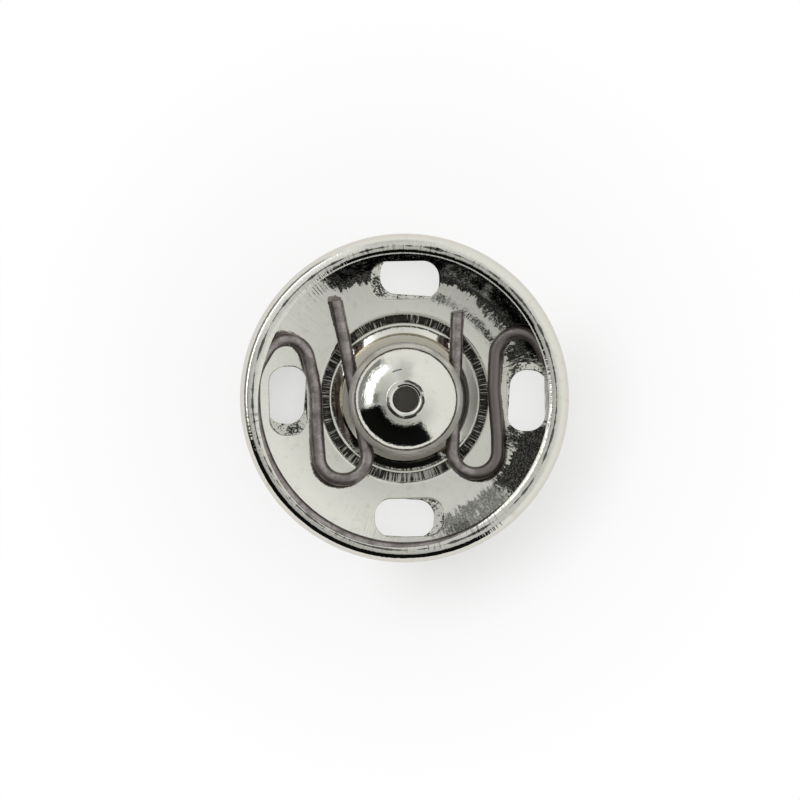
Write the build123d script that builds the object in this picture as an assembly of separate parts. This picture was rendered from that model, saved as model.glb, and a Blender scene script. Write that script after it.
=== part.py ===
from build123d import *

import os
from collections import namedtuple
from math import asin, cos, degrees, hypot, radians, sin, sqrt, tan

# A large sew-on snap fastener, closed: the socket half, open side up, on the stud half.
# Millimetres, +Z up. The origin is on the surface it rests on, under the centre of the socket's rim.
# The sheet parts are drawn in section as radius and height, and their angles are in degrees.

# Sheet and wire
sheet = 0.30
wire_diameter = 0.85

# Socket plate, measured on its upper face
socket_diameter = 21.0
funnel_width = 0.58
valley_bend = 0.20
funnel_slope = 27.0
step_slope = 55.0
step_bend = 0.40
recess_depth = 0.72
step_width = 1.05
dish_bend = 8.0
dish_slope = 20.0
lip_slope = 25.0
lip_width = 0.53
lip_trim_width = 0.635
lip_trim_offset = 0.50
lip_trim_direction = 240.0

# Stud plate and its hollow knob, measured on the outer face
stud_offset = (0.08, -0.08)
stud_rim_radius = 0.52
seat_depth = 0.24
seat_slope = 35.0
seat_bend = 0.35
neck_radius = 2.65
root_bend = 0.50
head_cover = 0.125
head_crown = 2.35
head_shoulder = 1.80
head_fold = 0.35
bore_radius = 0.76
bore_round = 0.32
bore_slope = 30.0
bore_crease = 0.05
bore_collar = 0.45

# Sewing holes, the same punch in both plates
slot_length = 4.4
slot_width = 2.4
slot_end_flat = 0.30
slot_edge_round = 0.08
socket_slot_margin = 2.90
socket_slot_turn = 1.1
socket_slot_offset = (0.16, -0.05)
stud_slot_margin = 2.45
stud_slot_turn = -3.6
stud_slot_offset = (0.08, 0.15)

# Clearances
halves_gap = 0.05
floor_gap = 0.01
wire_play = 0.04
neck_gap = 0.035
hole_play = 0.51
seat_play = 1.15
stud_inset = 0.30

# Arms of the spring wire, seen from above. Each leaves the ring beside the X axis, arches back
# over the dish, runs down to a round turn and comes up along the knob's neck as a straight leg.
# Its inset is from the ring, and its turn and the leg's end are so far inside the arms' circle,
# which is measured in from the rim. The longer leg's free end rests on the dish.
arm_margin = 3.0
ring_inset = 0.12
ring_drop = 0.05
left_lead = 1.55
left_arch_top = 3.72
left_arch_inset = 0.51
left_arch_shift = 1.04
left_high_run_shift = 0.35
left_high_run_end = 0.45
left_low_run_shift = 0.25
left_low_run_end = -2.20
left_turn_bottom_gap = 2.29
left_turn_side_gap = 2.17
left_leg_tilt = 11.5
left_leg_end_gap = 1.32
right_lead = 1.60
right_arch_top = 4.16
right_arch_inset = 0.55
right_arch_shift = -0.09
right_high_run_shift = -0.25
right_high_run_end = 0.60
right_low_run_shift = 0.00
right_low_run_end = -2.40
right_turn_bottom_gap = 2.68
right_turn_side_gap = 1.55
right_leg_tilt = 1.9
right_leg_end_gap = 2.06
lead_bend = 3.4
run_bend = 6.0
arm_drop = 0.22
arch_rise = 0.05
round_share = 0.98

wire_radius = wire_diameter / 2
bead_inner = wire_radius + wire_play
bead_outer = bead_inner + sheet
bead_radius = socket_diameter / 2 - bead_outer
ring_radius = bead_radius - ring_inset
arm_radius = socket_diameter / 2 - arm_margin
stud_radius = socket_diameter / 2 - stud_inset
head_radius = neck_radius + neck_gap + wire_diameter + head_cover
hole_radius = head_radius + hole_play
valley_radius = hole_radius + funnel_width
dish_radius = valley_radius + step_width
seat_radius = valley_radius + seat_play
stud_seat_height = 2 * stud_rim_radius - seat_depth
valley_height = stud_seat_height + halves_gap + sheet
floor_height = valley_height + recess_depth
groove_radius = wire_radius + neck_gap
slot_corner = (slot_width - slot_end_flat) / 2

Arm = namedtuple(
    "Arm",
    "side lead arch_top arch_inset arch_shift high_run low_run turn_bottom turn_side leg_tilt leg_top",
)
left_arm = Arm(
    side=-1,
    lead=left_lead,
    arch_top=left_arch_top,
    arch_inset=left_arch_inset,
    arch_shift=left_arch_shift,
    high_run=(left_high_run_shift, left_high_run_end),
    low_run=(left_low_run_shift, left_low_run_end),
    turn_bottom=left_turn_bottom_gap - arm_radius,
    turn_side=left_turn_side_gap - arm_radius,
    leg_tilt=left_leg_tilt,
    leg_top=arm_radius - left_leg_end_gap,
)
right_arm = Arm(
    side=1,
    lead=right_lead,
    arch_top=right_arch_top,
    arch_inset=right_arch_inset,
    arch_shift=right_arch_shift,
    high_run=(right_high_run_shift, right_high_run_end),
    low_run=(right_low_run_shift, right_low_run_end),
    turn_bottom=right_turn_bottom_gap - arm_radius,
    turn_side=arm_radius - right_turn_side_gap,
    leg_tilt=right_leg_tilt,
    leg_top=arm_radius - right_leg_end_gap,
)


def leg_x(arm, y):
    """Where the centre line of an arm's leg is at this y, beside the knob's neck."""
    tilt = radians(arm.leg_tilt)
    reach = neck_radius + neck_gap + wire_radius
    foot_x = stud_offset[0] + arm.side * reach * cos(tilt)
    foot_y = stud_offset[1] - reach * sin(tilt)
    return foot_x + arm.side * (y - foot_y) * tan(tilt)


rest_radius = max(hypot(leg_x(arm, arm.leg_top), arm.leg_top) for arm in (left_arm, right_arm))
rest_angle = asin((rest_radius - dish_radius) / dish_bend)
rest_height = floor_height + dish_bend * (1 - cos(rest_angle))
leg_height = rest_height + floor_gap + wire_radius / cos(rest_angle)


class SheetSection:
    """Section of one bent sheet. The face that is drawn lies on the left of the way it runs."""

    def __init__(self, radius, height, heading):
        self.at = Vector(radius, 0, height)
        self.heading = heading
        self.face_edges = []
        self.back_edges = []

    def across(self, distance, turned=0):
        """Step to the right of the heading, turned by some degrees."""
        angle = radians(self.heading + turned)
        return Vector(sin(angle), 0, -cos(angle)) * distance

    def flat(self, length):
        angle = radians(self.heading)
        start = self.at
        self.at = start + Vector(cos(angle), 0, sin(angle)) * length
        self.face_edges.append(Line(start, self.at))
        self.back_edges.append(Line(start + self.across(sheet), self.at + self.across(sheet)))

    def flat_to_radius(self, radius):
        self.flat((radius - self.at.X) / cos(radians(self.heading)))

    def flat_to_height(self, height):
        self.flat((height - self.at.Z) / sin(radians(self.heading)))

    def bend(self, radius, turn):
        """Bend by turn degrees, left positive, to a radius measured on the drawn face."""
        side = 1 if turn > 0 else -1
        centre = self.at - self.across(side * radius)
        for edges, arc_radius in ((self.face_edges, radius), (self.back_edges, radius + side * sheet)):
            ends = [centre + self.across(side * arc_radius, share * turn) for share in (0, 0.5, 1)]
            edges.append(ThreePointArc(*ends))
        self.at = centre + self.across(side * radius, turn)
        self.heading += turn

    def solid(self):
        ends = [
            Line(self.face_edges[0] @ 0, self.back_edges[0] @ 0),
            Line(self.face_edges[-1] @ 1, self.back_edges[-1] @ 1),
        ]
        return revolve(make_face(self.face_edges + self.back_edges + ends), Axis.Z)


def sewing_slots(pitch_radius, turn, offset):
    """Four slots along the rim, right through, to cut from a plate."""
    slot = extrude(RectangleRounded(slot_length, slot_width, slot_corner), socket_diameter, both=True)
    place = Pos(*offset, 0)
    return [place * Rot(0, 0, turn + 90 * quarter) * Pos(0, pitch_radius, 0) * slot for quarter in range(4)]


def is_slot_wall(face):
    if face.geom_type == GeomType.PLANE:
        return abs(face.normal_at().Z) < 0.5
    return face.geom_type == GeomType.CYLINDER and abs(face.radius - slot_corner) < 0.001


def punch(plate, slots):
    """Cut the slots from a plate and round their upper edges, where the punch drew the sheet down."""
    punched = plate - slots
    edges = [
        edge
        for wall in filter(is_slot_wall, punched.faces())
        for edge in wall.edges()
        if (edge @ 0.5).Z > wall.center().Z and abs((edge % 0.5).Z) < 0.999
    ]
    return fillet(edges, slot_edge_round)


def make_stud_half():
    """The stud plate and its knob, pressed from one sheet, from the knob's bore out to the rolled rim."""
    underside = leg_height + groove_radius
    equator = underside + head_fold
    crown_spare = 2 * (head_crown - head_shoulder)
    crown = (head_radius**2 + head_crown**2 - 2 * head_radius * head_shoulder) / crown_spare
    shoulder_angle = degrees(asin((head_radius - head_shoulder) / (crown - head_shoulder)))
    crown_centre = equator + head_crown - crown
    hook = bore_round + bore_crease
    crease_reach = bore_radius + bore_round + hook * sin(radians(bore_slope))
    crease_angle = asin(crease_reach / (crown + bore_crease))
    crease_height = crown_centre + (crown + bore_crease) * cos(crease_angle)
    round_height = crease_height - hook * cos(radians(bore_slope))
    seat_rise = seat_depth - 2 * seat_bend * (1 - cos(radians(seat_slope)))

    section = SheetSection(bore_radius, round_height - bore_collar, 90)
    section.flat_to_height(round_height)
    section.bend(bore_round, -90 - bore_slope)
    section.bend(bore_crease, bore_slope - degrees(crease_angle))
    section.bend(crown, degrees(crease_angle) - shoulder_angle)
    section.bend(head_shoulder, shoulder_angle - 90)
    section.bend(head_fold, -90)
    section.flat_to_radius(neck_radius + groove_radius)
    section.bend(groove_radius, 90)
    section.flat_to_height(stud_seat_height + root_bend)
    section.bend(root_bend, 90)
    section.flat_to_radius(seat_radius)
    section.bend(seat_bend, seat_slope)
    section.flat(seat_rise / sin(radians(seat_slope)))
    section.bend(seat_bend, -seat_slope)
    section.flat_to_radius(stud_radius - stud_rim_radius)
    section.bend(stud_rim_radius, -180)
    slots = sewing_slots(stud_radius - stud_slot_margin, stud_slot_turn, stud_slot_offset)
    return Pos(*stud_offset, 0) * punch(section.solid(), slots)


def make_socket_plate():
    """The socket plate, from the free edge of its hole out to the lip of its rim, and the rim's height."""
    edge_run = valley_radius - valley_bend * sin(radians(funnel_slope)) - hole_radius
    edge_rise = valley_bend * (1 - cos(radians(funnel_slope))) + edge_run * tan(radians(funnel_slope))
    step_rise = recess_depth - (valley_bend + step_bend) * (1 - cos(radians(step_slope)))

    section = SheetSection(hole_radius, valley_height + edge_rise, -funnel_slope)
    section.flat(edge_run / cos(radians(funnel_slope)))
    section.bend(valley_bend, funnel_slope + step_slope)
    section.flat(step_rise / sin(radians(step_slope)))
    section.bend(step_bend, -step_slope)
    section.flat_to_radius(dish_radius)
    section.bend(dish_bend, dish_slope)
    section.flat_to_radius(bead_radius + bead_inner * sin(radians(dish_slope)))
    bead_height = section.at.Z + bead_inner * cos(radians(dish_slope))
    section.bend(bead_inner, 180 - dish_slope + lip_slope)
    section.flat_to_radius(bead_radius - lip_width + sheet * sin(radians(lip_slope)))

    trim_angle = radians(lip_trim_direction)
    trim_place = Pos(lip_trim_offset * cos(trim_angle), lip_trim_offset * sin(trim_angle), bead_height)
    trim_radius = bead_radius - lip_trim_width
    trim = Cylinder(trim_radius, bead_outer, align=(Align.CENTER, Align.CENTER, Align.MIN))
    pitch_radius = socket_diameter / 2 - socket_slot_margin
    slots = sewing_slots(pitch_radius, socket_slot_turn, socket_slot_offset)
    return punch(section.solid() - trim_place * trim, slots), bead_height


def round_radius(before, first, second, after):
    """Radius with which two corners in a row become one round turn."""
    middle = second - first
    half_turns = [(first - before).get_angle(middle) / 2, middle.get_angle(after - second) / 2]
    return round_share * middle.length / sum(tan(radians(half)) for half in half_turns)


def arm_line(arm, ring_height):
    """Centre line of one arm, from the ring to the leg's free end."""
    def shifted(distance, y, height=leg_height):
        return Vector(arm.turn_side + arm.side * distance, y, height)

    arch_x = arm.side * (sqrt(ring_radius**2 - arm.arch_top**2) - arm.arch_inset)
    corners = [
        Vector(arm.side * ring_radius, 0, ring_height),
        Vector(arm.side * ring_radius, arm.lead, ring_height),
        Vector(arch_x, arm.arch_top, ring_height - arm_drop),
        shifted(arm.arch_shift, arm.arch_top, leg_height + arch_rise),
        shifted(*arm.high_run),
        shifted(*arm.low_run),
        shifted(0, arm.turn_bottom),
        Vector(leg_x(arm, arm.turn_bottom), arm.turn_bottom, leg_height),
        Vector(leg_x(arm, arm.leg_top), arm.leg_top, leg_height),
    ]
    arch = round_radius(*corners[1:5])
    turn = round_radius(*corners[5:9])
    return FilletPolyline(*corners, radius=[lead_bend, arch, arch, run_bend, run_bend, turn, turn])


def make_spring_wire(ring_height):
    """One wire: half a ring in the rim, with an arm at each end."""
    left = arm_line(left_arm, ring_height)
    right = arm_line(right_arm, ring_height)
    ring = CenterArc((0, 0, ring_height), ring_radius, 180, 180)
    path = Wire(left.edges() + ring.edges() + right.edges())
    start = Plane(origin=left @ 1, z_dir=-(left % 1))
    return sweep(start * Circle(wire_radius), path=path)


socket_plate, bead_height = make_socket_plate()
nodes = {
    "stud_half": make_stud_half(),
    "socket_plate": socket_plate,
    "spring_wire": make_spring_wire(bead_height - ring_drop),
}
os.makedirs("parts", exist_ok=True)
for node, shape in nodes.items():
    export_step(shape, f"parts/{node}.step")
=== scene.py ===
"""Finishes a large sew-on snap fastener around its CAD frame and sets it on a pale table.

Blender's lengths are metres, and the patterns of the finishes are worked out in millimetres. Azimuths
run counter-clockwise from +X seen from above, in degrees here and in radians in the settings.
"""

from collections import namedtuple
from math import cos, pi, radians, sin

import bpy
from bpy.props import FloatProperty, FloatVectorProperty, PointerProperty
from bpy.types import Operator, Panel, PropertyGroup
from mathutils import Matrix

bl_info = {
    "name": "Snap fastener finish",
    "version": (1, 0, 0),
    "blender": (4, 5, 0),
    "location": "View3D > Sidebar > Snap fastener",
    "description": "Plates both halves of a snap fastener, finishes its wire and sets the table",
    "category": "Object",
}

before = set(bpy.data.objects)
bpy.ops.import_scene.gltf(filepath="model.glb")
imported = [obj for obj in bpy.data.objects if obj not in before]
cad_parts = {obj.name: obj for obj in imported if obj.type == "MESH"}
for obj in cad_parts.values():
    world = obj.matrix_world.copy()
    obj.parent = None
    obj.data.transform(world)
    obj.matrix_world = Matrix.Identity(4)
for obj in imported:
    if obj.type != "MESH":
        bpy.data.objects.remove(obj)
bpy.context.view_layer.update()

millimetre = 0.001
micron_in_millimetres = 0.001
white = (1.0, 1.0, 1.0)

Sector = namedtuple("Sector", "azimuth half_width feather")
Band = namedtuple("Band", "inner outer feather")
DarkReflection = namedtuple("DarkReflection", "sector inner outer bare strength")
Patch = namedtuple("Patch", "azimuth half_width side_feather bottom top feather strength")

# Centres of the two round plates in the CAD frame
socket_centre = (0.0, 0.0)
stud_centre = (0.08, -0.08)

# Heights between which one level of the closed fastener gives way to the next
stud_plate_to_neck = (1.25, 1.5)
neck_to_head = (3.0, 3.4)
valley_to_dish = (2.16, 2.22)
dish_to_lip = (3.3, 3.5)

# Where the plating has been handled or has dulled, as parts of the noise's range
handled_patches = (0.45, 0.75)
dulled_patches = (0.52, 0.80)
most_dulling = 0.35
speck_spacing = 1.6
speck_size = 0.06
speck_cover = 0.8
pore_share = 0.30
# Wear and painted highlights both make the plating rougher and less metallic
wear_and_highlight_roughness = 0.3
wear_and_highlight_metal_loss = 0.6

# Marks on the stud half's knob, with painted shade in the crown's crease
draw_line_depth = 0.02
fold_shade = 0.95
crown_crease_shade = Band(1.07, 1.20, 0.03)
crease_waver = 0.16
crease_blotches = (0.40, 0.1)
lit_crease_arc = Sector(135, 34, 12)
crown_scratch = Band(1.89, 1.95, 0.03)
scratch_arc = Sector(107, 7, 4)
scratch_dirt = 0.8
knob_shoulder = Band(3.32, 3.9, 0.08)
shoulder_tarnish = 0.2
shoulder_wear = 0.8

# Marks and painted shade on the stud half's plate. The painted shade and the tarnish at the knob's
# root have a level and a part that goes in rings.
knob_root = Band(2.9, 4.0, 0.2)
root_shade_arcs = ((Sector(272, 34, 16), 0.6), (Sector(185, 18, 14), 0.5), (Sector(358, 28, 8), 0.9))
root_shade_level = 0.7
root_shade_rings = 0.6
root_tarnish_level = 0.25
root_tarnish_rings = 0.9
slotted_ring = Band(6.1, 9.2, 0.3)
slotted_ring_bare = 0.50

# Marks on the socket plate's valley, step and dish, with painted shade on the step between its lines
# and a painted highlight on one arc of the funnel
funnel_ring = Band(4.1, 4.72, 0.05)
lit_funnel_arc = Sector(3, 30, 14)
step_ring = Band(4.86, 5.34, 0.03)
step_waver = 0.2
step_patchiness = 0.3
step_wear = 1.2
broken_step_shade_arc = Sector(262, 34, 20)
broken_step_shade_gain = 0.05
unshaded_step_lines = (0.69, 0.80)
brushed_radii = (6.0, 8.0)
brushing_depth = 0.3
fine_brushing_share = 0.8
ring_line_depth = 0.03
scuff_ring = Band(8.3, 9.0, 0.15)
scuff_arc = Sector(61, 8, 6)
scuff_blotches = (0.44, 0.2)
scuff_wear = 0.5
scuff_clearing = 0.6

# Marks on the socket plate's lip and rim, with painted highlights on the lip's free edge and on one
# arc of the crest, and painted shade along the seam
lip_ring = Band(9.1, 9.80, 0.05)
lip_line_depth = 0.4
scored_lines = (0.55, 0.66)
scored_stretches = (0.46, 0.60)
score_dirt = 0.5
lip_edge = Band(9.18, 9.27, 0.02)
lip_edge_highlight = 1.4
seam_radius = 9.69
seam_waver = 0.10
seam_width = 0.10
seam_feather = 0.02
seam_shade = 0.85
seam_stretches = (0.38, 0.68)
rim_crest = Band(9.80, 10.02, 0.06)
lit_crest_arc = Sector(132, 18, 14)
crest_highlight_strength = 0.9

# Painted dark reflections on the dish's wall
painted_wall_reflections = (
    DarkReflection(Sector(69, 40, 26), 8.20, 9.6, bare=0.26, strength=1.00),
    DarkReflection(Sector(113, 3, 14), 8.10, 9.2, bare=0.42, strength=0.95),
    DarkReflection(Sector(333, 9, 16), 8.15, 9.6, bare=0.30, strength=1.00),
    DarkReflection(Sector(302, 12, 16), 8.05, 9.6, bare=0.33, strength=0.76),
    DarkReflection(Sector(303, 8, 16), 8.50, 9.6, bare=0.46, strength=0.80),
    DarkReflection(Sector(292, 3, 7), 8.90, 9.6, bare=0.38, strength=0.90),
    DarkReflection(Sector(40, 10, 16), 7.60, 8.3, bare=0.44, strength=0.95),
    DarkReflection(Sector(22, 3, 12), 7.20, 8.1, bare=0.43, strength=1.00),
    DarkReflection(Sector(341, 2, 12), 7.00, 8.1, bare=0.43, strength=1.00),
    DarkReflection(Sector(69, 3, 12), 6.60, 7.0, bare=0.44, strength=0.80),
)
reflection_fur = 0.8
reflection_wander = 0.5
spot_share = 0.7
streak_share = 0.3
reflection_inner_feather = 0.9
reflection_outer_feather = 0.2
reflection_spread = 0.45
reflection_softness = 0.07
weak_reflection_softness = 0.4
reflection_speckle = (0.48, 0.60)
reflection_firmness = 0.85

# Oxide on the wire, and painted shade that darkens it along its right arm
grain_share = 0.35
patch_share = 0.65
rubbed_oxide = (0.36, 0.66)
rubbed_polish = 0.08
shaded_arm = Sector(352, 30, 15)
shaded_arm_radii = (4.4, 5.2)
shaded_arm_strength = 0.22

# Shade on the table round the fastener
lee_of_rim = Sector(325, 36, 36)
lee_ring = Band(10.0, 10.5, 6.0)
lee_radii = (9.0, 10.0)
lee_shade = 0.3
beside_rim = Band(9.9, 10.4, 1.8)
rim_shade = 0.8
plate_edge = (9.0, 9.8)
slot_shade = 0.16
darker_slot = Sector(180, 30, 20)
darker_slot_shade = 0.2
knob_edge = (2.4, 4.0)
open_table = (11.0, 28.0)
paper_mottle = 0.15
paper_tint = 0.98

# Parts of the studio, by azimuth and elevation. The softbox and its stand are turned on by the azimuth
# of the softbox, and the dark side by its own. Strength is the share of light that each adds or takes.
softbox_patch = Patch(0.0, 24.0, 16.0, 34.0, 39.0, 4.0, 1.0)
stand_patch = Patch(7.0, 34.0, 10.0, 8.5, 29.0, 3.0, 0.7)
dark_side_patch = Patch(0.0, 53.0, 6.0, 10.0, 51.0, 2.5, 0.994)
dark_corner_patch = Patch(208.0, 8.0, 7.0, 45.0, 50.5, 7.0, 0.994)
door_patch = Patch(178.0, 3.0, 13.0, 43.0, 48.0, 5.0, 0.6)
grey_wall_patch = Patch(92.0, 4.0, 20.0, 44.0, 52.0, 20.0, 0.25)
camera_arm_patch = Patch(222.0, 11.0, 2.0, 75.0, 80.0, 2.0, 0.92)
arm_joint_patch = Patch(250.0, 5.0, 1.5, 75.5, 79.0, 1.5, 0.552)
ceiling_edge = (30.0, 55.0)
ceiling_level = 0.80
window_gain = 0.5
wall_level = 1.10


def colour_property(name, description, default):
    return FloatVectorProperty(
        name=name, description=description, default=default, subtype="COLOR", size=3, min=0.0, max=1.0
    )


def share_property(name, description, default):
    return FloatProperty(
        name=name, description=description, default=default, subtype="FACTOR", min=0.0, max=1.0
    )


def angle_property(name, description, degrees):
    return FloatProperty(
        name=name, description=description, default=radians(degrees), subtype="ANGLE", unit="ROTATION"
    )


def length_property(name, description, default):
    return FloatProperty(
        name=name, description=description, default=default, subtype="DISTANCE", unit="LENGTH"
    )


class PlatingSettings(PropertyGroup):
    """Nickel plating on both pressed halves."""

    nickel: colour_property(
        "Nickel", "Colour of the clean plating", (0.672, 0.642, 0.585)
    )
    # Tarnish, and also the colour of the painted warm reflection at the knob's root.
    tarnish_and_warm_reflection: colour_property(
        "Tarnish", "Colour where the plating has dulled in the folds", (0.42, 0.37, 0.29)
    )
    # Grime, and also the colour of painted shade and painted dark reflections.
    grime_and_shade: colour_property(
        "Grime", "Colour of the dirt between the press lines and in the folds", (0.022, 0.020, 0.018)
    )
    # Burnish, and also the colour of the painted highlights.
    burnish_and_highlight: colour_property(
        "Burnish", "Colour where rubbing keeps the plating bare and bright", (0.87, 0.83, 0.76)
    )
    polish: share_property(
        "Polish roughness", "Roughness of the bright plating", 0.055
    )
    haze: share_property(
        "Haze", "Roughness that handling has added in patches", 0.05
    )
    ripple: FloatProperty(
        name="Ripple",
        description="Height of the plating's ripple, in thousandths of a millimetre",
        default=7.0,
    )
    press_lines: FloatProperty(
        name="Press lines",
        description="Depth of the radial lines that the press left, in thousandths of a millimetre",
        default=40.0,
    )


class WireSettings(PropertyGroup):
    """Satin steel of the spring wire."""

    dark_steel: colour_property(
        "Dark steel", "Colour of the oxide in the wire's hollows", (0.190, 0.165, 0.155)
    )
    light_steel: colour_property(
        "Light steel", "Colour where the oxide has rubbed off", (0.38, 0.335, 0.325)
    )
    satin: share_property(
        "Satin roughness", "Roughness of the drawn wire", 0.45
    )
    grain: FloatProperty(
        name="Grain",
        description="Depth of the wire's grain, in thousandths of a millimetre",
        default=2.5,
    )


class StageSettings(PropertyGroup):
    """Table, studio and camera."""

    table: colour_property(
        "Table", "Colour of the table", (0.96, 0.94, 0.91)
    )
    table_width: length_property(
        "Table width", "Side of the square table", 3.0
    )
    table_glow: share_property(
        "Table glow", "Share of plain white that the camera and the metal see in the table", 0.84
    )
    sky: colour_property(
        "Sky", "Colour of the studio's walls and ceiling", (0.93, 0.975, 0.97)
    )
    softbox_level: FloatProperty(
        name="Softbox level",
        description="Brightness of the softbox, where the studio is 1",
        default=3.2,
    )
    softbox_azimuth: angle_property(
        "Softbox azimuth", "Direction of the softbox, counter-clockwise from +X", 153.0
    )
    dark_azimuth: angle_property(
        "Dark side azimuth", "Direction of the studio's dark side", 248.0
    )
    window_azimuth: angle_property(
        "Window azimuth", "Direction towards which the studio's ceiling is brightest", 45.0
    )
    camera_height: length_property(
        "Camera height", "Height of the camera above the table", 0.400
    )
    view_width: length_property(
        "View width", "Width that the picture covers at the fastener", 0.0512
    )


class Value:
    """A number or vector from a shader socket. Arithmetic on it adds Math nodes."""

    def __init__(self, shader, socket):
        self.shader = shader
        self.socket = socket

    def math(self, operation, *others, clamp=False):
        inputs = dict(enumerate((self, *others)))
        return self.shader.node("ShaderNodeMath", inputs, operation=operation, use_clamp=clamp)

    def __add__(self, other):
        return self.math("ADD", other)

    def __sub__(self, other):
        return self.math("SUBTRACT", other)

    def __mul__(self, other):
        return self.math("MULTIPLY", other)

    def __truediv__(self, other):
        return self.math("DIVIDE", other)

    def __pow__(self, other):
        return self.math("POWER", other)

    def __radd__(self, other):
        return self + other

    def __rmul__(self, other):
        return self * other

    def __rsub__(self, other):
        return self.shader.node("ShaderNodeMath", {0: other, 1: self}, operation="SUBTRACT")


class Shader:
    """Adds nodes to the tree of one material or world."""

    def __init__(self, owner):
        owner.use_nodes = True
        self.tree = owner.node_tree
        self.tree.nodes.clear()

    def node(self, kind, inputs, output=0, **settings):
        """Add a node, with its settings first and then the values or links of its sockets."""
        added = self.tree.nodes.new(kind)
        for name, setting in settings.items():
            setattr(added, name, setting)
        for name, given in inputs.items():
            socket = added.inputs[name]
            if isinstance(given, Value):
                self.tree.links.new(given.socket, socket)
            else:
                socket.default_value = given
        return Value(self, added.outputs[output]) if added.outputs else None

    def coordinate(self, name):
        return self.node("ShaderNodeTexCoord", {}, output=name)

    def axes(self, vector):
        parts = self.node("ShaderNodeSeparateXYZ", {"Vector": vector})
        return [Value(self, socket) for socket in parts.socket.node.outputs]

    def vector(self, x, y, z):
        return self.node("ShaderNodeCombineXYZ", {"X": x, "Y": y, "Z": z})

    def noise(self, vector, scale, detail=2.0, roughness=0.5):
        inputs = {"Vector": vector, "Scale": scale, "Detail": detail, "Roughness": roughness}
        return self.node("ShaderNodeTexNoise", inputs)

    def ramp(self, value, low, high):
        """A smooth step from 0 at low to 1 at high."""
        inputs = {"Value": value, "From Min": low, "From Max": high}
        return self.node("ShaderNodeMapRange", inputs, interpolation_type="SMOOTHSTEP")

    def band(self, value, low, high, feather):
        """1 from low to high, and 0 a feather beyond them."""
        return self.ramp(value, low - feather, low) * (1.0 - self.ramp(value, high, high + feather))

    def mix(self, share, first, second):
        """Blend two colours. They are sockets 6 and 7 of the node, and output 2."""
        inputs = {"Factor": share, 6: self.colour(first), 7: self.colour(second)}
        return self.node("ShaderNodeMix", inputs, output=2, data_type="RGBA")

    def colour(self, given):
        return given if isinstance(given, Value) else (*given, 1.0)


class Surface:
    """Millimetre coordinates on a piece of the fastener, with radii from the piece's own centre."""

    def __init__(self, shader, centre=(0.0, 0.0)):
        self.shader = shader
        metres = shader.coordinate("Object")
        self.place = shader.node(
            "ShaderNodeVectorMath", {0: metres, 3: 1 / millimetre}, operation="SCALE"
        )
        x, y, self.height = shader.axes(self.place)
        x = x - centre[0]
        y = y - centre[1]
        self.radius = (x * x + y * y) ** 0.5
        self.east = x / self.radius
        self.north = y / self.radius

    def noise(self, scale, detail=2.0, roughness=0.5):
        """Noise with about so many lumps in a millimetre."""
        return self.shader.noise(self.place, scale, detail, roughness)

    def wavering_radius(self, count, change, waver):
        """The radius to an edge that wavers, by so many millimetres in about so many places."""
        return self.radius + (self.spokes(count, change) - 0.5) * waver

    def sector(self, sector):
        """1 within the sector's half width of its azimuth, and 0 a feather beyond it."""
        azimuth = radians(sector.azimuth)
        along = self.east * cos(azimuth) + self.north * sin(azimuth)
        full, none = sector.half_width, sector.half_width + sector.feather
        return self.shader.ramp(along, cos(radians(none)), cos(radians(full)))

    def ring(self, band):
        """1 on a round band, and 0 a feather inside and outside it."""
        return self.shader.band(self.radius, *band)

    def crowding(self):
        """Noise of small spots that crowd together in places."""
        fine_share = 0.55
        fine = self.noise(7.5, detail=4.0, roughness=0.7)
        return fine * fine_share + self.noise(0.9) * (1.0 - fine_share)

    def blotches(self, bare, softness=0.05):
        """Spots over all but this share of the noise's range."""
        return self.shader.ramp(self.crowding(), bare, bare + softness)

    def specks(self, spacing, size):
        """1 in small specks of this size, in millimetres, in a few of the cells they are spaced by."""
        chosen_cells = (0.70, 0.72)
        cells = {"Vector": self.place, "Scale": 1 / spacing}
        near = self.shader.node("ShaderNodeTexVoronoi", cells) * spacing
        chance, _, _ = self.shader.axes(self.shader.node("ShaderNodeTexVoronoi", cells, output=1))
        return (1.0 - self.shader.ramp(near, size / 2, size)) * self.shader.ramp(chance, *chosen_cells)

    def spokes(self, count, change, detail=2.0):
        """Noise in about so many radial streaks, which change so often in a millimetre of radius."""
        turn = count / (2 * pi)
        vector = self.shader.vector(self.east * turn, self.north * turn, self.radius * change)
        return self.shader.noise(vector, scale=1.0, detail=detail)

    def rings(self, density, waver=0.6):
        """Noise in rings round the centre, so many in a millimetre."""
        vector = self.shader.vector(self.radius * density, self.east * waver, self.north * waver)
        return self.shader.noise(vector, scale=1.0, detail=3.0)


def new_shader(material_name):
    material = bpy.data.materials.new(material_name)
    return material, Shader(material)


def finish_surface(shader, colour, roughness, height, metallic=1.0):
    """Join a metal's colour, roughness and height in millimetres to the material's output."""
    bump = shader.node("ShaderNodeBump", {"Strength": 1.0, "Distance": millimetre, "Height": height})
    inputs = {
        "Base Color": colour,
        "Metallic": metallic,
        "Roughness": roughness,
        "Normal": bump,
    }
    metal = shader.node("ShaderNodeBsdfPrincipled", inputs)
    shader.node("ShaderNodeOutputMaterial", {"Surface": metal})


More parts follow.
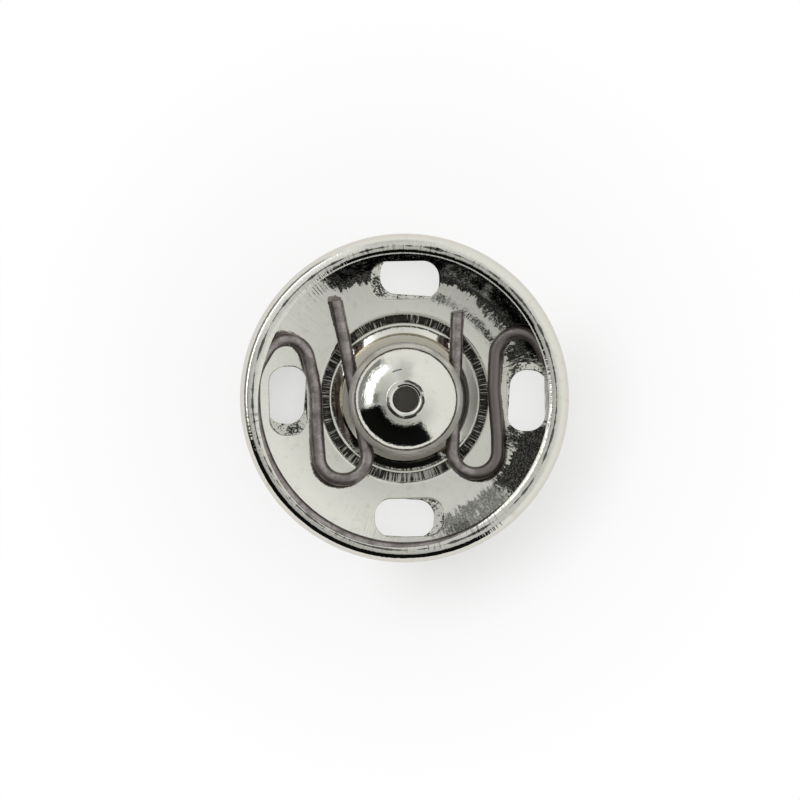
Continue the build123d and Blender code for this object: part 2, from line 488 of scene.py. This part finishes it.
def nickel_plating(name, settings, centre, press_marks):
    """Bright nickel over one half's own marks: heights, dark marks with painted shade, dulled colour
    with a painted warm reflection, and rubbed places with painted highlights.
    """
    material, shader = new_shader(name)
    surface = Surface(shader, centre)
    ripple_height = settings.ripple * micron_in_millimetres
    line_depth = settings.press_lines * micron_in_millimetres
    marks, grime_and_shade, tarnish_and_warm_reflection, wear_and_highlights = press_marks(shader, surface, line_depth)
    ripple = surface.noise(2.5) * ripple_height
    pores = surface.noise(9.0, detail=1.0) * (ripple_height * pore_share)

    handled = shader.ramp(surface.noise(0.9, detail=4.0), *handled_patches)
    roughness = handled * settings.haze + settings.polish + wear_and_highlights * wear_and_highlight_roughness
    wear_and_highlights = wear_and_highlights.math("MINIMUM", 1.0)
    metallic = 1.0 - wear_and_highlights * wear_and_highlight_metal_loss
    dull = shader.ramp(surface.noise(1.7, detail=5.0, roughness=0.65), *dulled_patches) * most_dulling
    dull = dull.math("MAXIMUM", tarnish_and_warm_reflection)
    dirt_and_shade = grime_and_shade.math("MAXIMUM", surface.specks(speck_spacing, speck_size) * speck_cover)
    colour = shader.mix(dull, settings.nickel, settings.tarnish_and_warm_reflection)
    colour = shader.mix(wear_and_highlights, colour, settings.burnish_and_highlight)
    colour = shader.mix(dirt_and_shade, colour, settings.grime_and_shade)
    finish_surface(shader, colour, roughness, ripple + pores + marks, metallic)
    return material


def stud_press_marks(shader, surface, depth):
    """Draw lines and a rubbed shoulder on the knob, painted shade in the folds and at its root, and a
    warm dulled colour at the root that is partly painted reflection.
    """
    on_plate = 1.0 - shader.ramp(surface.height, *stud_plate_to_neck)
    on_head = shader.ramp(surface.height, *neck_to_head)
    draw_lines = surface.rings(density=9.0) * (depth * draw_line_depth)

    rubbed = surface.ring(knob_shoulder) * on_head
    # Painted shade in the crown's crease, left out on its lit arc, with a dark scratch.
    crease_edge = surface.wavering_radius(count=12, change=0.5, waver=crease_waver)
    crease = shader.band(crease_edge, *crown_crease_shade) * (1.0 - surface.sector(lit_crease_arc))
    scratch = surface.ring(crown_scratch) * surface.sector(scratch_arc)
    crease = (crease + scratch * scratch_dirt) * surface.blotches(*crease_blotches) * on_head

    root = surface.ring(knob_root) * on_plate
    root_rings = surface.rings(density=7.0)
    shaded = sum(surface.sector(sector) * strength for sector, strength in root_shade_arcs)
    # Painted shade in blotches on the recessed slotted ring.
    recess_shade = surface.ring(slotted_ring) * on_plate * surface.blotches(slotted_ring_bare)

    # Painted shade at the knob's root, darkest on the listed arcs.
    root_shade = root * shaded * (root_rings * root_shade_rings + root_shade_level)
    # Tarnish at the knob's root, which is also a painted warm reflection of the gap.
    root_tarnish_and_reflection = root * (root_rings * root_tarnish_rings + root_tarnish_level)
    grime_and_shade = (recess_shade + crease) * fold_shade + root_shade
    tarnish_and_warm_reflection = root_tarnish_and_reflection + rubbed * shoulder_tarnish
    return draw_lines, grime_and_shade, tarnish_and_warm_reflection, rubbed * shoulder_wear


def painted_dish_reflections(shader, surface):
    """Painted dark reflections on the dish's wall, with furred edges."""
    furred = surface.wavering_radius(count=210, change=0.8, waver=reflection_fur)
    furred = furred + (surface.noise(2.0) - 0.5) * reflection_wander
    spots = surface.crowding() * spot_share + surface.spokes(count=330, change=0.9) * streak_share
    speckle = shader.ramp(surface.noise(9.0, detail=3.0, roughness=0.7), *reflection_speckle)
    darkest = 0.0
    for reflection in painted_wall_reflections:
        inside = shader.ramp(furred, reflection.inner - reflection_inner_feather, reflection.inner)
        outside = shader.ramp(furred, reflection.outer, reflection.outer + reflection_outer_feather)
        reach = surface.sector(reflection.sector) * inside * (1.0 - outside)
        edge = (1.0 - reach) * reflection_spread + reflection.bare
        softness = reflection_softness + (1.0 - reflection.strength) * weak_reflection_softness
        dark = shader.ramp(spots, edge, edge + softness) * reflection.strength
        dark = dark * (1.0 - speckle * (1.0 - reflection.strength * reflection_firmness))
        darkest = dark.math("MAXIMUM", darkest)
    return darkest


def socket_press_marks(shader, surface, depth):
    """Radial lines on the lip, the dish and the step round the hole, with scored dark lines, painted
    shade, painted dark reflections and painted highlights.
    """
    in_valley = 1.0 - shader.ramp(surface.height, *valley_to_dish)
    on_top = shader.ramp(surface.height, *dish_to_lip)

    step_edge = surface.wavering_radius(count=260, change=0.5, waver=step_waver)
    step = shader.band(step_edge, *step_ring) * in_valley
    step_lines = surface.spokes(count=420, change=0.7)
    # Painted shade on the step, broken by unshaded lines, and by more of them on one arc.
    patches = surface.sector(broken_step_shade_arc) * broken_step_shade_gain + surface.noise(0.6) * step_patchiness
    unshaded = shader.ramp(step_lines + patches, *unshaded_step_lines)
    # Painted highlight on the funnel, on its arc at the right.
    funnel_highlight = surface.ring(funnel_ring) * in_valley * surface.sector(lit_funnel_arc)

    lip = surface.ring(lip_ring) * on_top
    lip_lines = surface.spokes(count=420, change=0.6)
    stretches = shader.ramp(surface.spokes(count=9, change=0.1, detail=1.0), *scored_stretches)
    scored = shader.ramp(lip_lines, *scored_lines) * lip * stretches * score_dirt
    # Painted highlight along the lip's free edge.
    free_edge_highlight = surface.ring(lip_edge) * on_top
    # Painted shade along the seam between the crest and the lip.
    seam_place = surface.wavering_radius(count=16, change=0.1, waver=seam_waver)
    off_seam = (seam_place - seam_radius).math("ABSOLUTE")
    openness = shader.ramp(surface.spokes(count=45, change=0.1, detail=3.0), *seam_stretches)
    seam = shader.ramp(openness * seam_width - off_seam, -seam_feather, seam_feather) * on_top
    # Painted highlight on the crest, on its arc at the upper left.
    crest_highlight = surface.ring(rim_crest) * surface.sector(lit_crest_arc) * on_top

    dish = shader.ramp(surface.radius, *brushed_radii) * (1.0 - lip)
    fine_brushing = surface.spokes(count=420, change=0.5) * fine_brushing_share
    brushing = (surface.spokes(count=140, change=1.2) + fine_brushing) * dish
    scuff = surface.sector(scuff_arc) * surface.ring(scuff_ring) * surface.blotches(*scuff_blotches)
    # Painted dark reflections on the dish, cleared where it is scuffed.
    dark_reflections = painted_dish_reflections(shader, surface) * (1.0 - scuff * scuff_clearing) * (1.0 - on_top)

    ring_lines = surface.rings(density=6.0) * ring_line_depth
    radial_lines = step_lines * step + lip_lines * lip * lip_line_depth + brushing * brushing_depth
    # Painted shade on the step and along the seam, dirt in the lip's scored lines, and the painted
    # dark reflections.
    grime_and_shade = step * (1.0 - unshaded) + (scored + seam * seam_shade).math("MAXIMUM", dark_reflections)
    rim_highlights = free_edge_highlight * lip_edge_highlight + crest_highlight * crest_highlight_strength
    wear_and_highlights = step * step_wear + scuff * scuff_wear + funnel_highlight + rim_highlights
    return (radial_lines + ring_lines) * depth, grime_and_shade, 0.0, wear_and_highlights


def satin_steel(name, settings):
    """Drawn spring wire, greyed by a thin oxide that has rubbed off in places."""
    material, shader = new_shader(name)
    surface = Surface(shader)
    grain = surface.noise(7.0, detail=4.0, roughness=0.6)
    patches = surface.noise(1.6, detail=3.0)
    # Painted shade that darkens the wire along its right arm.
    arm_shade = surface.sector(shaded_arm) * shader.ramp(surface.radius, *shaded_arm_radii)
    bareness = grain * grain_share + patches * patch_share - arm_shade * shaded_arm_strength
    rubbed = shader.ramp(bareness, *rubbed_oxide)
    colour = shader.mix(rubbed, settings.dark_steel, settings.light_steel)
    roughness = settings.satin - rubbed * rubbed_polish
    finish_surface(shader, colour, roughness, grain * (settings.grain * micron_in_millimetres))
    return material


def cover(node, material):
    """Give a CAD node's object this material in each of its slots."""
    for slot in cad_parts[node].material_slots:
        slot.material = material


class FinishStudHalf(Operator):
    """Plate the stud plate and its hollow knob"""

    bl_idname = "snap_fastener.finish_stud_half"
    bl_label = "Plate the stud half"

    def execute(self, context):
        settings = context.scene.snap_plating
        material = nickel_plating("stud_nickel", settings, stud_centre, stud_press_marks)
        cover("stud_half", material)
        return {"FINISHED"}


class FinishSocketPlate(Operator):
    """Plate the socket plate with its curled rim"""

    bl_idname = "snap_fastener.finish_socket_plate"
    bl_label = "Plate the socket"

    def execute(self, context):
        settings = context.scene.snap_plating
        material = nickel_plating("socket_nickel", settings, socket_centre, socket_press_marks)
        cover("socket_plate", material)
        return {"FINISHED"}


class FinishSpringWire(Operator):
    """Finish the spring wire in satin steel"""

    bl_idname = "snap_fastener.finish_spring_wire"
    bl_label = "Finish the spring wire"

    def execute(self, context):
        cover("spring_wire", satin_steel("wire_steel", context.scene.snap_wire))
        return {"FINISHED"}


def table_material(settings):
    """A pale table, which the camera and the metal see a little whiter than it is lit."""
    material, shader = new_shader("pale_table")
    surface = Surface(shader)
    mottle = surface.noise(0.5, detail=3.0) * paper_mottle
    colour = shader.mix(mottle, settings.table, [part * paper_tint for part in settings.table])
    dry_paper = {"Base Color": colour, "Roughness": 1.0, "Specular IOR Level": 0.0}
    matt = shader.node("ShaderNodeBsdfPrincipled", dry_paper)
    plain_white = shader.node("ShaderNodeEmission", {"Color": shader.colour(white), "Strength": 1.0})
    rays = shader.node("ShaderNodeLightPath", {}).socket.node.outputs
    camera, glossy, transmitted = [
        Value(shader, rays[f"Is {kind} Ray"]) for kind in ("Camera", "Glossy", "Transmission")
    ]
    seen_in_metal = glossy * (1.0 - surface.ring(beside_rim) * rim_shade)
    seen = camera.math("ADD", seen_in_metal + transmitted, clamp=True)
    beyond_knob = shader.ramp(surface.radius, *knob_edge)
    lee = surface.sector(lee_of_rim) * surface.ring(lee_ring) * shader.ramp(surface.radius, *lee_radii)
    under_plate = 1.0 - shader.ramp(surface.radius, *plate_edge)
    in_slots = under_plate * (surface.sector(darker_slot) * darker_slot_shade + slot_shade)
    glow = shader.ramp(surface.radius, *open_table) * (1.0 - settings.table_glow) + settings.table_glow
    share = seen * beyond_knob * (1.0 - lee * lee_shade) * (1.0 - in_slots) * glow
    joined = shader.node("ShaderNodeMixShader", {0: share, 1: matt, 2: plain_white})
    shader.node("ShaderNodeOutputMaterial", {"Surface": joined})
    return material


def lay_table(settings):
    bpy.ops.mesh.primitive_plane_add(size=settings.table_width)
    table = bpy.context.object
    table.name = "table"
    table.data.materials.append(table_material(settings))


def light_studio(settings):
    """A pale studio with a softbox on the upper left and a dark side at the bottom."""
    world = bpy.data.worlds.new("studio")
    bpy.context.scene.world = world
    shader = Shader(world)
    degree = pi / 180
    x, y, z = shader.axes(shader.coordinate("Generated"))
    level = (x * x + y * y).math("MAXIMUM", 1e-6) ** 0.5
    elevation = z.math("ARCSINE") / degree

    def aside(azimuth):
        """Degrees of azimuth away from this direction."""
        along = (x * cos(azimuth) + y * sin(azimuth)) / level
        return along.math("MINIMUM", 1.0).math("MAXIMUM", -1.0).math("ARCCOSINE") / degree

    def patch(part, turned=0.0):
        """A soft-edged part of the studio, turned on by some radians."""
        off_centre = aside(radians(part.azimuth) + turned)
        across = 1.0 - shader.ramp(off_centre, part.half_width, part.half_width + part.side_feather)
        return across * shader.band(elevation, part.bottom, part.top, part.feather) * part.strength

    softbox = patch(softbox_patch, settings.softbox_azimuth)
    stand = patch(stand_patch, settings.softbox_azimuth)
    dark = patch(dark_side_patch, settings.dark_azimuth).math("MAXIMUM", patch(dark_corner_patch))
    camera_arm = patch(camera_arm_patch) + patch(arm_joint_patch)

    towards_window = x * cos(settings.window_azimuth) + y * sin(settings.window_azimuth)
    overhead = shader.ramp(elevation, *ceiling_edge)
    room = overhead * (towards_window * window_gain + ceiling_level) + (1.0 - overhead) * wall_level
    for shade in (dark, camera_arm, patch(grey_wall_patch), patch(door_patch)):
        room = room * (1.0 - shade)
    brightness = (room + softbox * (settings.softbox_level - 1.0)) * (1.0 - stand)
    seen = shader.node("ShaderNodeLightPath", {}, output="Is Camera Ray")
    colour = shader.mix(seen, settings.sky, white)
    strength = seen + (1.0 - seen) * brightness
    background = shader.node("ShaderNodeBackground", {"Color": colour, "Strength": strength})
    shader.node("ShaderNodeOutputWorld", {"Surface": background})


def aim_camera(settings):
    """Straight down, with the fastener where the photograph has it."""
    picture_centre = (-0.288 * millimetre, -0.128 * millimetre)
    plate_height = 2.0 * millimetre
    data = bpy.data.cameras.new("camera")
    camera = bpy.data.objects.new("camera", data)
    bpy.context.collection.objects.link(camera)
    camera.location = (*picture_centre, settings.camera_height)
    distance = settings.camera_height - plate_height
    data.lens = data.sensor_width * distance / settings.view_width
    data.clip_start = distance / 10
    bpy.context.scene.camera = camera


class SetStage(Operator):
    """Lay the table, light the studio and aim the camera"""

    bl_idname = "snap_fastener.set_stage"
    bl_label = "Set the stage"

    def execute(self, context):
        bpy.ops.object.select_all(action="DESELECT")
        settings = context.scene.snap_stage
        lay_table(settings)
        light_studio(settings)
        aim_camera(settings)
        context.scene.view_settings.view_transform = "Standard"
        return {"FINISHED"}


class SnapFastenerPanel(Panel):
    """Lists the steps that finish the snap fastener."""

    bl_idname = "VIEW3D_PT_snap_fastener"
    bl_label = "Snap fastener"
    bl_space_type = "VIEW_3D"
    bl_region_type = "UI"
    bl_category = "Snap fastener"

    def draw(self, context):
        for step in steps:
            self.layout.operator(step.bl_idname)
        for name in settings_groups:
            group = getattr(context.scene, name)
            for field in group.bl_rna.properties:
                if not field.is_readonly and field.identifier != "name":
                    self.layout.prop(group, field.identifier)


settings_groups = {
    "snap_plating": PlatingSettings,
    "snap_wire": WireSettings,
    "snap_stage": StageSettings,
}
steps = (FinishStudHalf, FinishSocketPlate, FinishSpringWire, SetStage)


def register():
    for name, group in settings_groups.items():
        bpy.utils.register_class(group)
        setattr(bpy.types.Scene, name, PointerProperty(type=group))
    for part in (*steps, SnapFastenerPanel):
        bpy.utils.register_class(part)


def unregister():
    for part in (SnapFastenerPanel, *reversed(steps)):
        bpy.utils.unregister_class(part)
    for name, group in reversed(settings_groups.items()):
        delattr(bpy.types.Scene, name)
        bpy.utils.unregister_class(group)


def main():
    register()
    bpy.ops.snap_fastener.finish_stud_half()
    bpy.ops.snap_fastener.finish_socket_plate()
    bpy.ops.snap_fastener.finish_spring_wire()
    bpy.ops.snap_fastener.set_stage()


if __name__ == "__main__":
    main()
